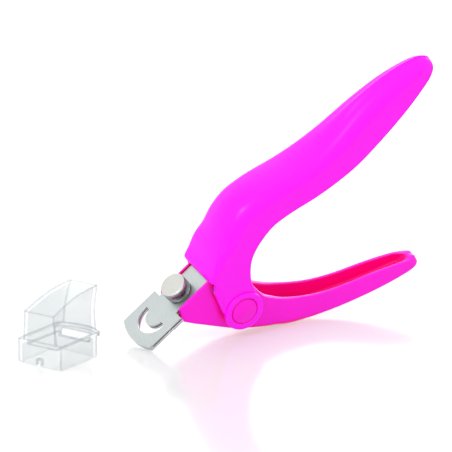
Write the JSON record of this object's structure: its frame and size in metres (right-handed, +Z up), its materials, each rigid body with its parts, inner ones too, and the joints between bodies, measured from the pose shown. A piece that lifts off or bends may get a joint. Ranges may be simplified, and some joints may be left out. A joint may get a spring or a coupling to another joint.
{
  "type": "plier-type nail tip clipper",
  "caption": "Spring-opened hand clipper with a crescent guide plate, a sliding guillotine blade, a knurled clamp screw and a clear clippings catcher.",
  "frame": {"origin": "centre of the whole set's footprint, on the surface that it stands on", "axes": "+Z up; +X from the clippings catcher past the head towards the handles' ends; +Y away from the viewer"},
  "size_m": [0.1472, 0.0458, 0.0918],
  "materials": {
    "pink_handle": "glossy magenta moulding",
    "pink_lever": "glossy magenta moulding",
    "pink_cap": "glossy magenta moulding",
    "pin_steel": "ground steel",
    "nylon": "natural nylon",
    "insert_brass": "turned brass",
    "plate_steel": "satin stainless steel",
    "blade_steel": "hardened ground steel",
    "screw_steel": "bright turned and knurled steel",
    "spring_steel": "drawn wire",
    "clear_plastic": "clear polystyrene"
  },
  "bodies": {
    "lower": {"lower_lever": "pink_lever", "threaded_insert": "insert_brass", "upper_guide_plate": "plate_steel", "lower_guide_plate": "plate_steel", "nose_shim": "plate_steel", "pivot_washer_near": "nylon", "pivot_washer_far": "nylon", "spring_coil": "spring_steel"},
    "upper": {"upper_handle": "pink_handle", "pivot_pin": "pin_steel", "pivot_cap_near": "pink_cap", "pivot_cap_far": "pink_cap", "drive_pin": "pin_steel", "spring_upper_leg": "spring_steel"},
    "blade": {"blade": "blade_steel", "blade_carrier": "nylon", "blade_rivet": "pin_steel"},
    "clamp_washer": {"clamp_washer": "screw_steel"},
    "clamp_screw": {"clamp_screw": "screw_steel"},
    "catcher": {"catcher": "clear_plastic"}
  },
  "joints": [
    {"name": "handle_squeeze", "type": "hinge", "parent": "lower", "child": "upper", "pos_m": [0.00177, 0.00278, 0.01226], "axis": [-0.2238, 0.9409, 0.2543], "range_deg": [0, 17.5], "stiffness_Nm_per_rad": 0.6, "springref_deg": -28.65},
    {"name": "blade_slide", "type": "slide", "parent": "lower", "child": "blade", "axis": [0.7507, 0, 0.6607], "range_m": [0, 0.0043]},
    {"name": "clamp_lift", "type": "slide", "parent": "lower", "child": "clamp_washer", "axis": [-0.6216, -0.3387, 0.7063], "range_m": [0, 0.0014]},
    {"name": "clamp_turn", "type": "hinge", "parent": "clamp_washer", "child": "clamp_screw", "pos_m": [-0.01713, -0.00298, 0.01693], "axis": [-0.6216, -0.3387, 0.7063], "range_deg": [0, 720]},
    {"name": "catcher_lift", "type": "slide", "parent": "lower", "child": "catcher", "axis": [0, 0, 1], "range_m": [0, 0.06]}
  ],
  "couplings": [
    {"joint": "blade_slide", "follows": "handle_squeeze", "m_per_rad": 0.013746},
    {"joint": "clamp_turn", "follows": "clamp_lift", "rad_per_m": 8975.9}
  ]
}
